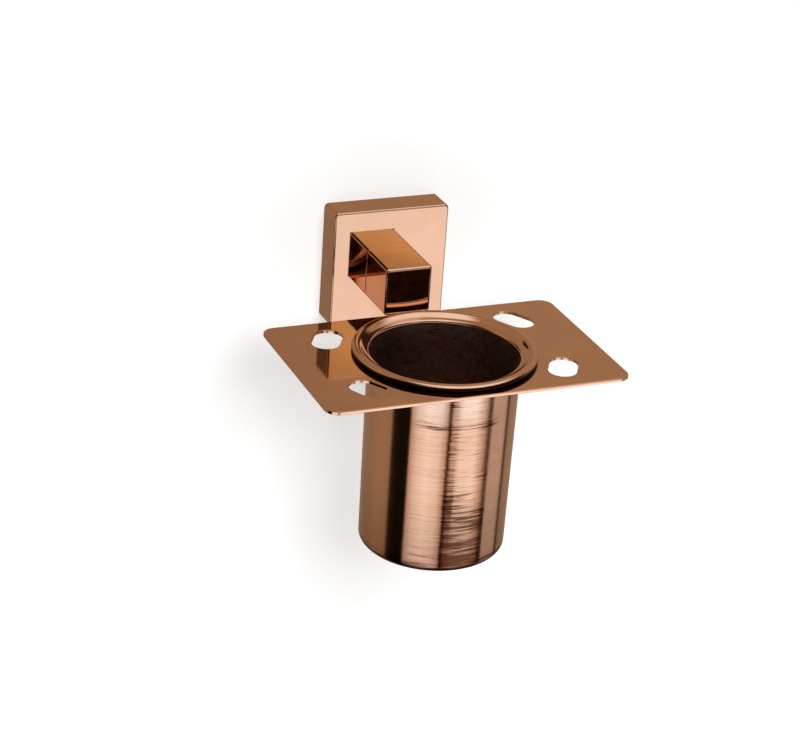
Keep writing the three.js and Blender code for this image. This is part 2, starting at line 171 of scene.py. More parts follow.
def lathe(name, profile, steps, turned):
    """Turns a section of radii and heights round Z. It starts and ends on the axis, going up the
    outside, or is a closed ring where its first point comes again at the end."""
    ring = profile[0] == profile[-1]
    rows = profile[:-1] if ring else profile
    points = []
    first = []
    for radius, height in rows:
        first.append(len(points))
        around = 1 if radius == 0 else steps
        for j in range(around):
            turn = 2 * math.pi * j / steps
            points.append(turned @ Vector((radius * math.cos(turn), radius * math.sin(turn), height)))
    faces = []
    pairs = [(i, (i + 1) % len(rows)) for i in range(len(rows) if ring else len(rows) - 1)]
    for low, high in pairs:
        for j in range(steps):
            k = (j + 1) % steps
            if rows[low][0] == 0:
                faces.append([first[low], first[high] + k, first[high] + j])
            elif rows[high][0] == 0:
                faces.append([first[low] + j, first[low] + k, first[high]])
            else:
                faces.append([first[low] + j, first[low] + k, first[high] + k, first[high] + j])
    return mesh_piece(name, points, faces)


def arc(x, y, radius, start, end, steps, flatness=1.0):
    """Points on an arc, in order, from one angle to another in degrees."""
    turns = [math.radians(start + (end - start) * i / steps) for i in range(steps + 1)]
    return [(x + radius * math.cos(t), y + flatness * radius * math.sin(t)) for t in turns]


def rounded_rectangle(width, height, radius):
    points = []
    for corner, (side, up) in enumerate(((1, 1), (-1, 1), (-1, -1), (1, -1))):
        x = side * (width / 2 - radius)
        y = up * (height / 2 - radius)
        points += arc(x, y, radius, 90 * corner, 90 * corner + 90, CORNER_STEPS)
    return points


def square_loop(side, corner, inset, y, z_middle):
    """A rounded square facing out from the wall, as points at one depth."""
    outline = rounded_rectangle(side - 2 * inset, side - 2 * inset, max(corner - inset, HAIR))
    return [Vector((u, y, z_middle + v)) for u, v in outline]


def edge_insets(size):
    """How far a rounded edge has turned in and moved on, from a side to the face that ends it."""
    turns = [math.pi / 2 * i / EDGE_STEPS for i in range(EDGE_STEPS + 1)]
    return [(size * (1 - math.cos(t)), size * math.sin(t)) for t in turns]


def applied(piece):
    """Turns a piece's modifiers into its mesh."""
    bpy.context.view_layer.update()
    shape = piece.evaluated_get(bpy.context.evaluated_depsgraph_get())
    mesh = bpy.data.meshes.new_from_object(shape)
    piece.modifiers.clear()
    piece.data = mesh
    return piece


def carve(piece, tool, operation="DIFFERENCE"):
    """Cuts a tool out of a piece, or joins it on, and removes the tool."""
    modifier = piece.modifiers.new("carve", "BOOLEAN")
    modifier.operation = operation
    modifier.solver = "EXACT"
    modifier.object = tool
    applied(piece)
    bpy.data.objects.remove(tool)
    return piece


def bar(radius, start, direction, length, steps=ROUND_STEPS):
    """A plain round bar or, with six steps, a hexagonal one, used to cut holes and sockets."""
    turned = Matrix.Translation(start) @ direction.to_track_quat("Z", "Y").to_matrix().to_4x4()
    return lathe("tool", [(0, 0), (radius, 0), (radius, length), (0, length)], steps, turned)


def block(low, high):
    x_pair, y_pair, z_pair = zip(low, high)
    corners = [Vector((x, y, z)) for z in z_pair for y in y_pair for x in x_pair]
    faces = [[0, 2, 3, 1], [4, 5, 7, 6], [0, 1, 5, 4], [2, 6, 7, 3], [0, 4, 6, 2], [1, 3, 7, 5]]
    return mesh_piece("tool", corners, faces)


def smooth(piece, angle=28):
    """Smooth shading that stays flat on flat faces and crisp at real corners."""
    mesh = piece.data
    mesh.shade_smooth()
    mesh.set_sharp_from_angle(angle=math.radians(angle))
    modifier = piece.modifiers.new("even_shading", "WEIGHTED_NORMAL")
    modifier.keep_sharp = True
    modifier.weight = 90
    return piece


def finish_piece(piece, node, body, material):
    piece.data.materials.clear()
    piece.data.materials.append(material)
    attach(piece, body)
    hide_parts(node)


# Materials


class Nodes:
    """A short way to build one material's or the world's node tree."""

    def __init__(self, tree):
        self.tree = tree
        tree.nodes.clear()

    def add(self, kind, inputs=None, **settings):
        node = self.tree.nodes.new(kind)
        for key, value in settings.items():
            setattr(node, key, value)
        for key, value in (inputs or {}).items():
            if isinstance(value, bpy.types.NodeSocket):
                self.tree.links.new(value, node.inputs[key])
            else:
                node.inputs[key].default_value = value
        return node

    def math(self, operation, a, b=0.0):
        return self.add("ShaderNodeMath", {0: a, 1: b}, operation=operation).outputs[0]

    def times(self, a, b):
        return self.math("MULTIPLY", a, b)

    def larger(self, a, b):
        return self.math("MAXIMUM", a, b)

    def spread(self, value, low, high, to_low=0.0, to_high=1.0):
        """Moves a value from one range to another, and holds it inside that one."""
        inputs = {"Value": value, "From Min": low, "From Max": high, "To Min": to_low, "To Max": to_high}
        return self.add("ShaderNodeMapRange", inputs).outputs["Result"]

    def noise(self, vector, scale, detail, roughness=0.5):
        inputs = {"Vector": vector, "Scale": scale, "Detail": detail, "Roughness": roughness}
        return self.add("ShaderNodeTexNoise", inputs).outputs["Fac"]

    def stretched(self, vector, scale):
        inputs = {"Vector": vector, "Scale": scale}
        return self.add("ShaderNodeMapping", inputs).outputs["Vector"]

    def near(self, vector, middle, size):
        """One at a place on the object, fading to nothing at the given distances along X, Y and Z."""
        scale = Vector((1 / size.x, 1 / size.y, 1 / size.z))
        inputs = {"Vector": vector, "Location": -middle * scale, "Scale": scale}
        away = self.add("ShaderNodeMapping", inputs).outputs["Vector"]
        distance = self.add("ShaderNodeVectorMath", {0: away}, operation="LENGTH").outputs["Value"]
        return self.spread(distance, 0.45, 1.0, 1.0, 0.0)

    def within(self, value, low, high, soft):
        """One between two values, fading to nothing outside them."""
        rising = self.spread(value, low - soft, low)
        falling = self.spread(value, high, high + soft, 1.0, 0.0)
        return self.times(rising, falling)

    def mix(self, factor, a, b):
        node = self.add("ShaderNodeMix", data_type="RGBA")
        for key, value in ((0, factor), (6, a), (7, b)):
            if isinstance(value, bpy.types.NodeSocket):
                self.tree.links.new(value, node.inputs[key])
            else:
                node.inputs[key].default_value = value if key == 0 else (*value, 1.0)
        return node.outputs[2]

    def ramp(self, factor, stops):
        node = self.add("ShaderNodeValToRGB", {"Fac": factor})
        elements = node.color_ramp.elements
        while len(elements) > 1:
            elements.remove(elements[0])
        elements[0].position = stops[0][0]
        elements[0].color = (*stops[0][1], 1.0)
        for position, colour in stops[1:]:
            elements.new(position).color = (*colour, 1.0)
        return node.outputs["Color"]


def shade(colour, amount):
    return tuple(c * amount for c in colour)


def new_material(name):
    material = bpy.data.materials.new(name)
    material.use_nodes = True
    return material, Nodes(material.node_tree)


def metal_surface(nodes, base, rough, normal, extra=None):
    inputs = {"Base Color": base, "Roughness": rough, "Normal": normal, "Metallic": 1.0}
    shader = nodes.add("ShaderNodeBsdfPrincipled", {**inputs, **(extra or {})})
    nodes.add("ShaderNodeOutputMaterial", {"Surface": shader.outputs[0]})


def bumped(nodes, height, strength, distance, below=None):
    inputs = {"Strength": strength, "Distance": distance, "Height": height}
    if below is not None:
        inputs["Normal"] = below
    return nodes.add("ShaderNodeBump", inputs).outputs[0]


def copper_sheet(name, colour, roughness, wave):
    """Plated metal with a near-mirror polish: faint waves, wiping marks and a little uneven colour."""
    material, nodes = new_material(name)
    place = nodes.add("ShaderNodeTexCoord").outputs["Object"]
    blotches = nodes.spread(nodes.noise(place, 45.0, 3.0), 0.35, 0.65)
    base = nodes.mix(blotches, shade(colour, 0.96), shade(colour, 1.04))
    wiping = nodes.noise(nodes.stretched(place, (90.0, 900.0, 900.0)), 1.0, 5.0, 0.6)
    rough = nodes.spread(wiping, 0.35, 0.7, roughness * 0.75, roughness * 1.35)
    waves = bumped(nodes, nodes.noise(place, 28.0, 1.0), 1.0, wave)
    grain = bumped(nodes, nodes.noise(place, 2600.0, 2.0), 0.2, 0.002 * MM, waves)
    metal_surface(nodes, base, rough, grain)
    return material


def tumbler_painted_shade(nodes, place, low):
    """Masks for painted shade on the tumbler: where dark streaks stand in for shade, painted shade on its
    right band, and painted shade that grows darker towards the bottom all round.

    The streak mask is strongest low down at the front, beside one upright line, along the turned line and
    just above the foot.
    """
    across, depth, height = nodes.add("ShaderNodeSeparateXYZ", {0: place}).outputs
    clouds = nodes.noise(nodes.stretched(place, (50.0, 50.0, 130.0)), 1.0, 2.0)
    left = nodes.within(across, *LEFT_BAND, 2 * MM)
    right = nodes.within(across, *RIGHT_BAND, MM)
    # Painted shade: dark streaks beside the dark upright line, on the lower right band, and weaker low on
    # the left band.
    fringe = nodes.within(across, *UPRIGHT_LINE, 3 * MM)
    beside = nodes.times(fringe, nodes.spread(height, -38 * MM, -75 * MM, 0.45, 1.0))
    right_band_streak_shade = nodes.times(right, nodes.spread(height, -50 * MM, -96 * MM, 0.25, 1.0))
    faint = nodes.times(left, nodes.spread(height, -75 * MM, SHADE_BELOW_BOTTOM, 0.0, 0.45))
    streak_shade = nodes.larger(nodes.larger(beside, right_band_streak_shade), faint)
    streak_shade = nodes.times(streak_shade, nodes.spread(clouds, 0.35, 0.6, 0.55, 1.05))
    # Painted shade along the turned line, with a darker spot on it at the upright line.
    turned = nodes.within(height, TURNED_LINE_HEIGHT - MM, TURNED_LINE_HEIGHT + MM, 2 * MM)
    turned = nodes.times(turned, nodes.within(across, -24 * MM, 10 * MM, 5 * MM))
    blot_place = Vector((TURNED_LINE_SHADE_SPOT, low.y, TURNED_LINE_HEIGHT))
    blot = nodes.near(place, blot_place, Vector((9 * MM, 9 * MM, 7 * MM)))
    streak_shade = nodes.larger(streak_shade, nodes.times(turned, 0.62))
    streak_shade = nodes.larger(streak_shade, blot)
    # The painted shade is kept to the front; the painted shade just above the foot goes all round.
    streak_shade = nodes.times(streak_shade, nodes.spread(depth, low.y + 12 * MM, low.y + 20 * MM, 1.0, 0.0))
    streak_shade = nodes.larger(streak_shade, nodes.spread(height, low.z + 2 * MM, low.z + 7 * MM, 0.9, 0.0))
    above_foot = nodes.spread(height, low.z + MM, low.z + 2 * MM)
    streak_shade = nodes.times(streak_shade, above_foot)
    # Painted shade on the lower right band, and painted shade darker towards the bottom all round.
    right_band_shade = nodes.times(right, nodes.spread(height, -68 * MM, -100 * MM, 0.0, 0.5))
    right_band_shade = nodes.times(right_band_shade, above_foot)
    painted_shade_below = nodes.spread(height, SHADE_BELOW_TOP, SHADE_BELOW_BOTTOM, 0.0, 0.42)
    return streak_shade, right_band_shade, painted_shade_below


def copper_brushed(name, colour, roughness):
    """Metal brushed round and round on a lathe: fine level lines that draw reflections out upwards.

    The lines lean a little to the left or right, which frays the edges of tall reflections. Dark
    streaks follow random smudges and a mask of painted shade, and painted shade darkens the metal
    towards the bottom. A painted highlight makes the metal paler at the front, above the turned line.
    """
    material, nodes = new_material(name)
    low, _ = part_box("tumbler")
    place = nodes.add("ShaderNodeTexCoord").outputs["Object"]
    lines = nodes.noise(nodes.stretched(place, (22.0, 22.0, 2600.0)), 1.0, 3.0, 0.6)
    streaks = nodes.noise(nodes.stretched(place, (50.0, 50.0, 1300.0)), 1.0, 3.0, 0.55)
    smudges = nodes.noise(nodes.stretched(place, (60.0, 60.0, 1500.0)), 1.0, 4.0, 0.62)
    streak_shade, right_band_shade, painted_shade_below = tumbler_painted_shade(nodes, place, low)
    # The dark marks are random smudges, with painted shade added where the shade mask is strong.
    marks = nodes.math("ADD", smudges, nodes.times(streak_shade, 0.33))
    marks = nodes.spread(marks, 0.64, 0.80, 0.0, 0.95)
    # Painted highlight: paler metal at the front, above the turned line.
    highlight_place = Vector((-11 * MM, low.y + 7 * MM, -18 * MM))
    pale = nodes.near(place, highlight_place, Vector((30 * MM, 18 * MM, 19 * MM)))

    base = nodes.mix(nodes.spread(lines, 0.35, 0.65), shade(colour, 0.95), shade(colour, 1.04))
    # Painted shade towards the bottom and on the lower right band, then the painted highlight, then the
    # dark marks.
    base = nodes.mix(painted_shade_below, base, DEEP_BROWN)
    base = nodes.mix(right_band_shade, base, DEEP_BROWN)
    base = nodes.mix(pale, base, PAINTED_HIGHLIGHT_COPPER)
    base = nodes.mix(marks, base, DEEP_BROWN)
    rough = nodes.spread(streaks, 0.3, 0.7, roughness * 0.8, roughness * 1.2)

    around = nodes.add("ShaderNodeTangent", direction_type="RADIAL", axis="Z").outputs[0]
    normal = nodes.add("ShaderNodeNewGeometry").outputs["Normal"]
    sway = nodes.times(nodes.math("SUBTRACT", streaks, 0.5), nodes.spread(streak_shade, 0.0, 1.0, 0.02, 0.08))
    push = nodes.add("ShaderNodeVectorMath", {0: around, "Scale": sway}, operation="SCALE").outputs[0]
    leaning = nodes.add("ShaderNodeVectorMath", {0: normal, 1: push}, operation="ADD").outputs[0]
    leaning = nodes.add("ShaderNodeVectorMath", {0: leaning}, operation="NORMALIZE").outputs[0]
    drawn_out = {"Anisotropic": 1.0, "Anisotropic Rotation": 0.25, "Tangent": around}
    metal_surface(nodes, base, rough, leaning, drawn_out)
    return material


def steel_turned(name):
    """Plain steel with fine tool marks across it."""
    material, nodes = new_material(name)
    place = nodes.add("ShaderNodeTexCoord").outputs["Object"]
    marks = nodes.noise(nodes.stretched(place, (700.0, 2500.0, 700.0)), 1.0, 4.0)
    base = nodes.mix(nodes.spread(marks, 0.35, 0.65), shade(STEEL, 0.88), shade(STEEL, 1.08))
    rough = nodes.spread(marks, 0.35, 0.65, 0.26, 0.42)
    metal_surface(nodes, base, rough, bumped(nodes, marks, 0.3, 0.01 * MM))
    return material


# Pieces


def make_cover():
    """A hollow square shell with a boss for the set screw, a hook, and holes for the arm's fixings."""
    low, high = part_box("wall_cover")
    side = high.x - low.x
    inner = side - 2 * COVER_WALL
    floor_y = low.y + COVER_FRONT_WALL
    loops = [
        square_loop(inner, COVER_INNER_CORNER, 0, floor_y, 0),
        square_loop(inner, COVER_INNER_CORNER, 0, -COVER_REAR_EDGE, 0),
        square_loop(inner, COVER_INNER_CORNER, -COVER_REAR_EDGE, 0, 0),
        square_loop(side, COVER_CORNER, COVER_REAR_EDGE, 0, 0),
        square_loop(side, COVER_CORNER, 0, -COVER_REAR_EDGE, 0),
    ]
    for inset, travel in edge_insets(COVER_EDGE):
        loops.append(square_loop(side, COVER_CORNER, inset, low.y + COVER_EDGE - travel, 0))
    cover = loft("cover_shell", loops)
    screw_low, screw_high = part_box("cover_set_screw")
    middle_y = (screw_low.y + screw_high.y) / 2
    boss_low = (-BOSS_HALF_WIDTH, -BOSS_REACH, -inner / 2 - HAIR)
    boss = block(boss_low, (BOSS_HALF_WIDTH, -BOSS_REAR, -inner / 2 + BOSS_HEIGHT))
    carve(cover, boss, "UNION")
    carve(cover, make_hook(inner / 2), "UNION")
    bore = (screw_high.x - screw_low.x) / 2 + SET_SCREW_ROOM
    carve(cover, bar(bore, Vector((0, middle_y, low.z - CUT_PAST)), UP, 8 * MM))
    arm_z = arm_middle()
    for rise, radius in ((0, COVER_SCREW_HOLE), (PIN_RISE, PIN_HOLE)):
        carve(cover, bar(radius, Vector((0, floor_y + CUT_PAST, arm_z + rise)), OUT, 5 * MM))
    return smooth(cover)


def make_hook(half):
    """The ledge behind the cover's top wall that hangs over the bracket's upper edge."""
    low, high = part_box("wall_bracket")
    back = BRACKET_BACK_HEIGHT / 2 + HOOK_PLAY
    front = high.z + HOOK_PLAY
    section = [(-HOOK_PLAY, back), (low.y, front), (low.y, half + HAIR), (-HOOK_PLAY, half + HAIR)]
    loops = [[Vector((x, y, z)) for y, z in section] for x in (-HOOK_HALF_WIDTH, HOOK_HALF_WIDTH)]
    return loft("tool", loops)


def arm_middle():
    low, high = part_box("arm")
    return (low.z + high.z) / 2


def make_arm():
    """A square bar with rounded edges, with holes for its screw, its pin and the plate's screws."""
    low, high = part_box("arm")
    side = high.x - low.x
    middle = arm_middle()
    loops = []
    for inset, travel in edge_insets(ARM_ROOT_EDGE)[::-1]:
        loops.append(square_loop(side, ARM_CORNER, inset, high.y - ARM_ROOT_EDGE + travel, middle))
    for inset, travel in edge_insets(ARM_EDGE):
        loops.append(square_loop(side, ARM_CORNER, inset, low.y + ARM_EDGE - travel, middle))
    arm = loft("arm_bar", loops)
    screw_low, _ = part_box("arm_screw")
    pin_low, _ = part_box("arm_locating_pin")
    start = high.y + CUT_PAST
    carve(arm, bar(ARM_SCREW_HOLE, Vector((0, start, middle)), OUT, start - screw_low.y + 1 * MM))
    carve(arm, bar(PIN_HOLE, Vector((0, start, middle + PIN_RISE)), OUT, start - pin_low.y + 0.3 * MM))
    for node in ("plate_screw_rear", "plate_screw_front"):
        screw_low, screw_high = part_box(node)
        y = (screw_low.y + screw_high.y) / 2
        depth = screw_high.z - low.z + 1.3 * MM
        carve(arm, bar(PLATE_SCREW_HOLE, Vector((0, y, low.z - CUT_PAST)), UP, depth))
    return smooth(arm)


def plate_contours(inset):
    """The plate's outline and its five holes, each moved inwards into the metal by the same amount."""
    low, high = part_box("holder_plate")
    width = high.x - low.x
    rear = low.y + PLATE_DEPTH
    middle_y = low.y + PLATE_DEPTH / 2
    outline = rounded_rectangle(width - 2 * inset, PLATE_DEPTH - 2 * inset, PLATE_CORNER - inset)
    outline = [(x, middle_y + y) for x, y in outline]
    half = TAB_WIDTH / 2 - inset
    tab = [(half, rear - inset), (half, high.y - inset), (-half, high.y - inset), (-half, rear - inset)]
    corner = CORNER_STEPS + 1
    outline = outline[:corner] + tab + outline[corner:]
    step = 360 / CUP_HOLE_STEPS
    contours = [outline, arc(0, middle_y, CUP_HOLE_RADIUS + inset, 360, step, CUP_HOLE_STEPS - 1)]
    for angle in (SLOT_ANGLE, math.pi - SLOT_ANGLE, math.pi + SLOT_ANGLE, -SLOT_ANGLE):
        radius = SLOT_WIDTH / 2
        half = SLOT_LENGTH / 2 - radius
        slot = arc(0, half, radius + inset, 180, 0, SLOT_END_STEPS)
        slot += arc(0, -half, radius + inset, 0, -180, SLOT_END_STEPS)
        turn = Matrix.Rotation(angle, 2)
        slot = [turn @ Vector((SLOT_DISTANCE + x, y)) for x, y in slot]
        contours.append([(p.x, middle_y + p.y) for p in slot])
    return contours


def make_plate():
    """Walls round every contour, with softened edges, closed by a flat face above and below."""
    low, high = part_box("holder_plate")
    turns = [math.pi / 2 * i / 4 for i in range(5)]
    rounding = []
    for t in turns:
        rounding.append((PLATE_EDGE - PLATE_EDGE * math.sin(t), PLATE_EDGE - PLATE_EDGE * math.cos(t)))
    section = [(inset, high.z - drop) for inset, drop in rounding]
    section += [(inset, low.z + rise) for inset, rise in rounding[::-1]]
    points = []
    faces = []
    rows = []
    for inset, z in section:
        row = []
        for contour in plate_contours(inset):
            row.append(list(range(len(points), len(points) + len(contour))))
            points += [Vector((x, y, z)) for x, y in contour]
        rows.append(row)
    for upper, lower in zip(rows, rows[1:]):
        for above, below in zip(upper, lower):
            for j in range(len(above)):
                k = (j + 1) % len(above)
                faces.append([below[j], below[k], above[k], above[j]])
    for row, flip in ((rows[0], False), (rows[-1], True)):
        order = [i for contour in row for i in contour]
        for face in tessellate_polygon([[points[i] for i in contour] for contour in row]):
            corners = [order[i] for i in face]
            a, b, c = (points[i] for i in corners)
            faces_up = (b - a).cross(c - a).z > 0
            faces.append(corners[::-1] if faces_up == flip else corners)
    plate = mesh_piece("holder_sheet", points, faces)
    for node in ("plate_screw_rear", "plate_screw_front"):
        carve(plate, plate_screw_solid(node, 0.12 * MM))
    return smooth(plate)


def plate_screw_solid(node, room):
    """A countersunk screw, or the hole for it where room is added all round."""
    low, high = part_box(node)
    head = (high.x - low.x) / 2 + room
    shank = 1.5 * MM + room
    length = high.z - low.z
    edge = 0.1 * MM
    tip = 0.5 * MM
    profile = [
        (0, -room), (head, -room), (head, edge), (shank, edge + head - shank),
        (shank, length - tip), (shank - tip, length), (0, length),
    ]
    place = Matrix.Translation((0, (low.y + high.y) / 2, low.z))
    return lathe("tool", profile, ROUND_STEPS, place)


def make_plate_screw(node):
    low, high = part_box(node)
    screw = plate_screw_solid(node, 0)
    screw.name = node + "_turned"
    socket_start = Vector((0, (low.y + high.y) / 2, low.z - CUT_PAST))
    socket = bar(SMALL_SOCKET, socket_start, UP, 1.9 * MM, HEXAGON)
    return smooth(carve(screw, socket))


def bend(start, start_slope, end, end_slope, steps):
    """Points between two points, on a curve that leaves and arrives at the given slopes in degrees."""
    start_rise = math.tan(math.radians(start_slope))
    end_rise = math.tan(math.radians(end_slope))
    knee_x = (end.y - start.y + start_rise * start.x - end_rise * end.x) / (start_rise - end_rise)
    knee = Vector((knee_x, start.y + start_rise * (knee_x - start.x)))
    parts = [i / steps for i in range(1, steps)]
    curve = [start * (1 - t) ** 2 + knee * 2 * t * (1 - t) + end * t * t for t in parts]
    return [tuple(point) for point in curve]


def tumbler_profile(plate_top, foot):
    """The tumbler's section: the foot and outside, the neck, the flare with its rolled bead, the inside."""
    _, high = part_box("tumbler")
    neck_x = CUP_TOP_RADIUS + NECK_RADIUS
    neck_z = plate_top + LEDGE_GAP - NECK_RADIUS
    bead_x = high.x - BEAD_WIDTH / 2
    bead_z = plate_top + BEAD_HEIGHT / 2 + HAIR
    slope = math.radians(FLARE_TOP_SLOPE)
    bead_turn = math.atan2(BEAD_HEIGHT * math.cos(slope), BEAD_WIDTH * math.sin(slope))
    bead_end = 180 - math.degrees(bead_turn)
    outer_neck = arc(neck_x, neck_z, NECK_RADIUS, 180, 90 + FLARE_FOOT_SLOPE, 10)
    bead = arc(bead_x, bead_z, BEAD_WIDTH / 2, -180, bead_end, 48, BEAD_HEIGHT / BEAD_WIDTH)
    inner_neck = arc(neck_x, neck_z, NECK_RADIUS + CUP_WALL, 90 + FLARE_FOOT_SLOPE, 180, 14)
    corner = CUP_BOTTOM_RADIUS - CUP_CORNER
    floor = foot + CUP_FOOT_RECESS
    return [
        (0, floor),
        (CUP_FOOT_RADIUS, floor),
        (CUP_FOOT_RADIUS + CUP_FOOT_STEP, foot),
        *arc(corner, foot + CUP_CORNER, CUP_CORNER, -90, 0, 12),
        *outer_neck,
        *bead,
        *bend(Vector(bead[-1]), FLARE_TOP_SLOPE, Vector(inner_neck[0]), FLARE_FOOT_SLOPE, 10),
        *inner_neck,
        *arc(corner, foot + CUP_CORNER, CUP_CORNER - CUP_WALL, 0, -90, 10),
        (CUP_FOOT_RADIUS + CUP_FOOT_STEP, foot + CUP_WALL),
        (CUP_FOOT_RADIUS, floor + CUP_WALL),
        (0, floor + CUP_WALL),
    ]


def make_tumbler():
    low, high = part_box("tumbler")
    _, plate_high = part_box("holder_plate")
    place = Matrix.Translation((0, (low.y + high.y) / 2, 0))
    tumbler = lathe("tumbler_cup", tumbler_profile(plate_high.z, low.z), CUP_STEPS, place)
    return smooth(tumbler, 40)


def paint_tumbler(tumbler, lip_material, inside_shade_material, shade_under_material):
    """The lip is polished above with painted shade below it, and the inside is painted darker as shade."""
    low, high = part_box("tumbler")
    middle_y = (low.y + high.y) / 2
    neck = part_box("holder_plate")[1].z + LEDGE_GAP - NECK_RADIUS
    floor = low.z + CUP_FOOT_RECESS + CUP_WALL / 2
    lip_index, inside_shade_index, shade_under_index = (1, 2, 3)
    for material in (lip_material, inside_shade_material, shade_under_material):
        tumbler.data.materials.append(material)
    for face in tumbler.data.polygons:
        x, y, z = face.center
        outwards = face.normal.x * x + face.normal.y * (y - middle_y)
        # Faces under the bead get a near-black finish and faces inside a darker one, both painted shade.
        if z > neck:
            least_rise = 0.5 if outwards > 0 else -0.1
            face.material_index = shade_under_index if face.normal.z < least_rise else lip_index
        elif z > floor and (outwards < 0 or face.normal.z > 0.5):
            face.material_index = inside_shade_index


def make_bracket():
    """A block that is taller in front, so the hook holds on it, with two countersunk screw holes."""
    low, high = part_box("wall_bracket")
    back = BRACKET_BACK_HEIGHT / 2
    section = [(0, -back), (low.y, low.z), (low.y, high.z), (0, back)]
    loops = [[Vector((x, y, z)) for y, z in section] for x in (low.x, high.x)]
    bracket = loft("wall_bracket_milled", loops)
    bevel = bracket.modifiers.new("edges", "BEVEL")
    bevel.width = BRACKET_EDGE
    bevel.segments = 3
    applied(bracket)
    radius = WALL_SCREW_HOLE
    depth = -low.y
    profile = [
        (0, -CUT_PAST), (radius, -CUT_PAST), (radius, depth - radius), (2 * radius, depth),
        (2 * radius, depth + CUT_PAST), (0, depth + CUT_PAST),
    ]
    for side in (-1, 1):
        rise = Matrix.Translation((0, 0, side * WALL_SCREW_RISE))
        place = rise @ Matrix.Rotation(math.pi / 2, 4, "X")
        carve(bracket, lathe("tool", profile, ROUND_STEPS, place))
    return smooth(bracket)


def make_set_screw():
    """A grub screw with a coned tip above, a socket below and rings for its thread."""
    low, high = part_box("cover_set_screw")
    radius = (high.x - low.x) / 2
    tip = 0.8 * MM
    chamfer = 0.3 * MM
    profile = [(0, low.z), (radius - chamfer, low.z), (radius, low.z + chamfer)]
    turns = int((high.z - low.z - chamfer - (radius - tip)) / SET_SCREW_PITCH)
    root = radius - 0.3 * MM
    for i in range(turns):
        z = low.z + chamfer + i * SET_SCREW_PITCH
        for reach, part in ((radius, 0.15), (root, 0.5), (radius, 0.85)):
            profile.append((reach, z + part * SET_SCREW_PITCH))
    profile += [(radius, high.z - (radius - tip)), (tip, high.z), (0, high.z)]
    y = (low.y + high.y) / 2
    screw = lathe("set_screw_turned", profile, ROUND_STEPS, Matrix.Translation((0, y, 0)))
    socket = bar(SMALL_SOCKET, Vector((0, y, low.z - CUT_PAST)), UP, 3.5 * MM, HEXAGON)
    return smooth(carve(screw, socket))


def facing_out(node):
    """Stands a lathe section up from the wall side of a node, so that its heights run out along -Y."""
    low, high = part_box(node)
    middle = (low + high) / 2
    return Matrix.Translation((middle.x, high.y, middle.z)) @ Matrix.Rotation(math.pi / 2, 4, "X")


def make_arm_screw():
    low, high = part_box("arm_screw")
    head = (high.x - low.x) / 2
    length = high.y - low.y
    top = length - 16 * MM
    shank = 3 * MM
    edge = 0.4 * MM
    tip = 0.8 * MM
    profile = [
        (0, 0), (head - edge, 0), (head, edge), (head, top), (shank, top),
        (shank, length - tip), (shank - tip, length), (0, length),
    ]
    screw = lathe("arm_screw_turned", profile, ROUND_STEPS, facing_out("arm_screw"))
    middle = (low + high) / 2
    socket = bar(LARGE_SOCKET, Vector((0, high.y + CUT_PAST, middle.z)), OUT, 3.2 * MM, HEXAGON)
    return smooth(carve(screw, socket))


def make_washer():
    low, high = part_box("arm_washer")
    outer = (high.x - low.x) / 2
    inner = WASHER_HOLE
    thick = high.y - low.y
    edge = 0.15 * MM
    profile = [
        (inner, 0), (outer - edge, 0), (outer, edge), (outer, thick - edge),
        (outer - edge, thick), (inner, thick), (inner, 0),
    ]
    return smooth(lathe("arm_washer_pressed", profile, ROUND_STEPS, facing_out("arm_washer")))


def make_spring_washer():
    """A ring with a gap in it that narrows outwards, because its two ends lean towards each other."""
    low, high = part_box("arm_spring_washer")
    outer = (high.x - low.x) / 2
    thick = high.y - low.y
    place = facing_out("arm_spring_washer")
    ring = [(WASHER_HOLE, 0), (outer, 0), (outer, thick), (WASHER_HOLE, thick)]
    gap = 0.12
    last = 60
    loops = []
    for i in range(last + 1):
        turn = gap + (2 * math.pi - 2 * gap) * i / last
        lean = {0: -0.05, last: 0.05}.get(i, 0)
        loop = []
        for reach, z in ring:
            leaned = turn + lean * z / thick
            loop.append(place @ Vector((reach * math.cos(leaned), reach * math.sin(leaned), z)))
        loops.append(loop)
    return smooth(loft("arm_spring_washer_coiled", loops))


def make_pin():
    low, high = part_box("arm_locating_pin")
    radius = (high.x - low.x) / 2
    length = high.y - low.y
    chamfer = 0.4 * MM
    profile = [
        (0, 0), (radius - chamfer, 0), (radius, chamfer),
        (radius, length - chamfer), (radius - chamfer, length), (0, length),
    ]
    return smooth(lathe("arm_pin_ground", profile, ROUND_STEPS, facing_out("arm_locating_pin")))


polished = copper_sheet("copper_polished", COPPER, 0.045, 0.03 * MM)
plated = copper_sheet("copper_plate", shade(COPPER, 0.98), 0.055, 0.03 * MM)
brushed = copper_brushed("copper_brushed", COPPER, 0.14)
lip = copper_sheet("copper_lip", COPPER, 0.1, 0.03 * MM)
# Painted shade: a darker, rougher finish inside the tumbler, and a near-black one under its lip.
inside = copper_sheet("copper_inside_shade", CUP_INSIDE_SHADE, 0.33, 0.01 * MM)
painted_shade_under_lip = copper_sheet("copper_under_lip", shade(DEEP_BROWN, 0.3), 0.3, 0.01 * MM)
steel = steel_turned("steel")

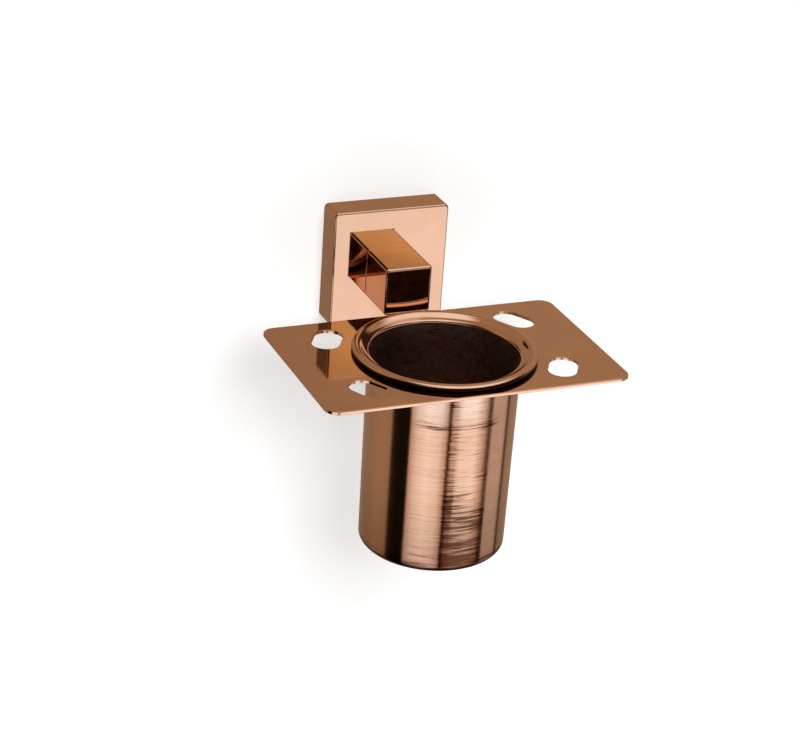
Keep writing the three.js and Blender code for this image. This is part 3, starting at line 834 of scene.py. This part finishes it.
finish_piece(make_cover(), "wall_cover", "holder", polished)
finish_piece(make_arm(), "arm", "holder", polished)
finish_piece(make_plate(), "holder_plate", "holder", plated)
tumbler = make_tumbler()
finish_piece(tumbler, "tumbler", "tumbler", brushed)
paint_tumbler(tumbler, lip, inside, painted_shade_under_lip)
finish_piece(make_bracket(), "wall_bracket", "holder", steel)
finish_piece(make_set_screw(), "cover_set_screw", "set_screw", steel)
finish_piece(make_arm_screw(), "arm_screw", "holder", steel)
finish_piece(make_washer(), "arm_washer", "holder", steel)
finish_piece(make_spring_washer(), "arm_spring_washer", "holder", steel)
finish_piece(make_pin(), "arm_locating_pin", "holder", steel)
for screw_node in ("plate_screw_rear", "plate_screw_front"):
    finish_piece(make_plate_screw(screw_node), screw_node, "holder", steel)


# Stage: a white wall and floor, which the metal doesn't mirror; it mirrors the studio in the world.
# The studio's bands are placed by their bearing from straight out of the wall, in degrees, with
# right positive, and by their rise above level.

STAGE_GLOW = 0.455
STAGE_REACH = 4.0
FLOOR_HEIGHT = -0.55
CARD_GLOW = 1.0
BRIGHT = (1.0, 1.05, 1.24)
SOFTBOX = shade(BRIGHT, 1.3)
SOFTBOX_EDGE = (0.70, 0.56, 0.52)
WARM_WALL = (0.33, 0.25, 0.19)
UPPER_WALL = (0.37, 0.265, 0.185)
MIDDLE = (0.54, 0.50, 0.51)
DIM = (0.09, 0.075, 0.07)
DARK = (0.03, 0.024, 0.02)
BLACK = (0.006, 0.005, 0.004)
FRONT_LAMP = (0.72, 0.78, 0.62)
SEEN_GREY = (0.85, 0.85, 0.85)
LIGHTING_GREY = (0.08, 0.08, 0.08)

# What the metal mirrors: the low bands reach up to about 18 degrees below level, the high ones start there.
LOW_BANDS = [
    (-180, shade(WARM_WALL, 0.84)), (-150, shade(WARM_WALL, 0.86)), (-125, shade(WARM_WALL, 1.05)),
    (-101, WARM_WALL), (-99.5, BLACK), (-69, BLACK), (-67, SOFTBOX_EDGE), (-56, shade(SOFTBOX, 0.8)),
    (-40, SOFTBOX), (-22, shade(SOFTBOX, 0.85)), (-12, SOFTBOX_EDGE), (-9, DARK), (-6.5, DARK),
    (-3.5, SOFTBOX_EDGE), (12, shade(SOFTBOX, 0.95)), (34, SOFTBOX), (50, SOFTBOX_EDGE),
    (56.5, DARK), (60.5, DARK), (63, MIDDLE), (93, MIDDLE), (96, DARK), (101, DARK),
    (104, WARM_WALL), (180, WARM_WALL),
]
HIGH_BANDS = [
    (-180, shade(UPPER_WALL, 0.85)), (-110, UPPER_WALL), (-90, DARK), (96, DARK), (106, UPPER_WALL),
    (153, shade(UPPER_WALL, 1.03)), (160, shade(UPPER_WALL, 0.85)), (180, shade(UPPER_WALL, 0.85)),
]

# The small lamp ahead and above: its light by height in degrees along its slanting side.
LAMP_SLANT = 0.27
LAMP_ROWS = [
    (12.5, 0.0), (13.0, 1.0), (15.85, 1.0), (16.0, 0.68), (17.1, 0.68), (17.3, 1.0), (18.4, 1.0),
    (19.3, 0.68), (21.0, 0.6), (22.0, 0.0),
]


def stage_material(name, colour):
    """Pale paint that glows a little, and that can be looked through from behind."""
    material, nodes = new_material(name)
    place = nodes.add("ShaderNodeTexCoord").outputs["Object"]
    grain = nodes.noise(place, 6.0, 3.0)
    base = nodes.mix(nodes.spread(grain, 0.3, 0.7), shade(colour, 0.995), colour)
    matt = nodes.add("ShaderNodeBsdfDiffuse", {"Color": base}).outputs[0]
    glow = nodes.add("ShaderNodeEmission", {"Color": base, "Strength": STAGE_GLOW}).outputs[0]
    surface = nodes.add("ShaderNodeAddShader", {0: matt, 1: glow}).outputs[0]
    clear = nodes.add("ShaderNodeBsdfTransparent").outputs[0]
    behind = nodes.add("ShaderNodeNewGeometry").outputs["Backfacing"]
    surface = nodes.add("ShaderNodeMixShader", {0: behind, 1: surface, 2: clear}).outputs[0]
    nodes.add("ShaderNodeOutputMaterial", {"Surface": surface})
    return material


def make_stage():
    near, left, right = (-STAGE_REACH, -STAGE_REACH, STAGE_REACH)
    foot = [(left, 0, FLOOR_HEIGHT), (right, 0, FLOOR_HEIGHT)]
    wall_corners = [*foot, (right, 0, STAGE_REACH), (left, 0, STAGE_REACH)]
    floor_corners = [(left, near, FLOOR_HEIGHT), (right, near, FLOOR_HEIGHT), *foot[::-1]]
    wall = mesh_piece("wall", wall_corners, [[0, 1, 2, 3]])
    floor = mesh_piece("floor", floor_corners, [[0, 1, 2, 3]])
    wall.data.materials.append(stage_material("wall_paint", (0.86, 0.86, 0.86)))
    floor.data.materials.append(stage_material("floor_pale", (0.82, 0.82, 0.81)))
    for piece in (wall, floor):
        piece.visible_glossy = False


def make_card():
    """White cards round the arm's end that only mirrored rays meet, and only from the cover's side.

    The polished cover mirrors them in place of the plate and tumbler. They glow at a first mirroring
    only, so that what the arm mirrors of the cover stays as it is.
    """
    low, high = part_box("arm")
    near = low.y + ARM_EDGE
    far = near - 30 * MM
    left, right = (low.x - 8 * MM, high.x + 40 * MM)
    bottom, top = (-50 * MM, high.z + 0.1 * MM)

    def upright(x0, x1, z0, z1):
        return [(x0, near, z0), (x0, near, z1), (x1, near, z1), (x1, near, z0)]

    sheets = [
        upright(high.x, right, bottom, top),
        upright(left, low.x, bottom, top),
        upright(low.x, high.x, bottom, low.z),
        [(left, near, top), (left, far, top), (right, far, top), (right, near, top)],
    ]
    points = [point for sheet in sheets for point in sheet]
    faces = [[4 * i + j for j in range(4)] for i in range(len(sheets))]
    card = mesh_piece("card", points, faces)
    material, nodes = new_material("card_glow")
    glow = nodes.add("ShaderNodeEmission", {"Color": (*BRIGHT, 1), "Strength": CARD_GLOW}).outputs[0]
    clear = nodes.add("ShaderNodeBsdfTransparent").outputs[0]
    behind = nodes.add("ShaderNodeNewGeometry").outputs["Backfacing"]
    later = nodes.math("GREATER_THAN", nodes.add("ShaderNodeLightPath").outputs["Ray Depth"], 1.5)
    unseen = nodes.larger(behind, later)
    surface = nodes.add("ShaderNodeMixShader", {0: unseen, 1: glow, 2: clear}).outputs[0]
    nodes.add("ShaderNodeOutputMaterial", {"Surface": surface})
    material.cycles.emission_sampling = "NONE"
    card.data.materials.append(material)
    card.visible_camera = False
    card.visible_diffuse = False
    card.visible_shadow = False


def make_light(name, place, aim, size, power):
    data = bpy.data.lights.new(name, "AREA")
    data.shape = "RECTANGLE"
    data.size, data.size_y = size
    data.energy = power
    light = bpy.data.objects.new(name, data)
    light.location = place
    light.rotation_euler = (Vector(aim) - Vector(place)).to_track_quat("-Z", "Y").to_euler()
    light.visible_glossy = False
    light.visible_camera = False
    bpy.context.scene.collection.objects.link(light)


def banded(nodes, turn, bands):
    return nodes.ramp(turn, [((bearing + 180) / 360, colour) for bearing, colour in bands])


def lower_studio(nodes, turn, bearing, rise):
    """The low bands, dimmer ahead in their top few degrees."""
    bands = banded(nodes, turn, LOW_BANDS)
    faded = nodes.times(nodes.spread(rise, -24.8, -24.0), nodes.spread(bearing, -70.0, -68.0))
    faded = nodes.times(faded, nodes.spread(bearing, 53.0, 55.0, 1.0, 0.0))
    return nodes.mix(nodes.times(faded, 0.42), bands, DARK)


def upper_studio(nodes, turn, bearing, rise):
    """The high bands, with the small lamp and a low lamp ahead, and a dark strip behind."""
    bands = banded(nodes, turn, HIGH_BANDS)
    slanted = nodes.math("SUBTRACT", rise, nodes.times(bearing, LAMP_SLANT))
    start, end = LAMP_ROWS[0][0], LAMP_ROWS[-1][0]
    rows = [((height - start) / (end - start), (light, light, light)) for height, light in LAMP_ROWS]
    lamp = nodes.ramp(nodes.spread(slanted, start, end), rows)
    lamp = nodes.times(lamp, nodes.within(bearing, 17.0, 31.0, 2.0))
    bands = nodes.mix(lamp, bands, FRONT_LAMP)
    strip = nodes.times(nodes.within(bearing, -160.5, -156.0, 0.5), nodes.within(rise, 22.0, 26.5, 0.5))
    bands = nodes.mix(strip, bands, DIM)
    low_lamp = nodes.times(nodes.within(bearing, -50.0, 90.0, 12.0), nodes.within(rise, 1.0, 9.0, 2.0))
    return nodes.mix(low_lamp, bands, shade(BRIGHT, 0.85))


def make_world():
    """Mirrored rays see the studio, rays that light matt surfaces a dark grey, and the rest a pale one."""
    world = bpy.data.worlds.new("studio")
    bpy.context.scene.world = world
    world.use_nodes = True
    world.cycles.sampling_method = "NONE"
    nodes = Nodes(world.node_tree)
    direction = nodes.add("ShaderNodeTexCoord").outputs["Generated"]
    axes = nodes.add("ShaderNodeSeparateXYZ", {0: direction}).outputs
    bearing = nodes.math("ARCTAN2", axes["X"], nodes.times(axes["Y"], -1.0))
    bearing = nodes.times(bearing, 180 / math.pi)
    rise = nodes.times(nodes.math("ARCSINE", axes["Z"]), 180 / math.pi)
    turn = nodes.spread(bearing, -180.0, 180.0)
    low = lower_studio(nodes, turn, bearing, rise)
    high = upper_studio(nodes, turn, bearing, rise)
    studio = nodes.mix(nodes.spread(rise, -19.5, -17.0), low, high)

    overhead = nodes.times(nodes.within(bearing, -20.0, 95.0, 50.0), nodes.spread(rise, 40.0, 50.0))
    overhead = nodes.larger(overhead, nodes.spread(rise, 68.0, 76.0))
    studio = nodes.mix(overhead, studio, BRIGHT)
    studio = nodes.mix(nodes.spread(rise, -60.0, -48.0, 1.0, 0.0), studio, DARK)

    path = nodes.add("ShaderNodeLightPath").outputs
    colour = nodes.mix(path["Is Diffuse Ray"], SEEN_GREY, LIGHTING_GREY)
    colour = nodes.mix(path["Is Glossy Ray"], colour, studio)
    surface = nodes.add("ShaderNodeBackground", {"Color": colour, "Strength": 1.0}).outputs[0]
    nodes.add("ShaderNodeOutputWorld", {"Surface": surface})


def make_camera():
    azimuth = math.radians(CAMERA_AZIMUTH)
    elevation = math.radians(CAMERA_ELEVATION)
    roll = math.radians(CAMERA_ROLL)
    back = Vector((
        math.sin(azimuth) * math.cos(elevation),
        -math.cos(azimuth) * math.cos(elevation),
        math.sin(elevation),
    ))
    right = Vector((math.cos(azimuth), math.sin(azimuth), 0))
    up = back.cross(right)
    turned_right = right * math.cos(roll) + up * math.sin(roll)
    turned_up = up * math.cos(roll) - right * math.sin(roll)
    camera = bpy.data.objects.new("camera", bpy.data.cameras.new("camera"))
    camera.data.lens = CAMERA_LENS
    camera.data.sensor_width = 36
    pose = Matrix((turned_right, turned_up, back)).transposed().to_4x4()
    camera.matrix_world = Matrix.Translation(CAMERA_TARGET + back * CAMERA_DISTANCE) @ pose
    bpy.context.scene.collection.objects.link(camera)
    bpy.context.scene.camera = camera


make_stage()
make_card()
make_world()
make_light("key", (-0.05, -1.5, 0.85), (0, 0, -0.05), (0.8, 0.8), 15.5)
make_camera()
bpy.context.scene.view_settings.view_transform = "Standard"
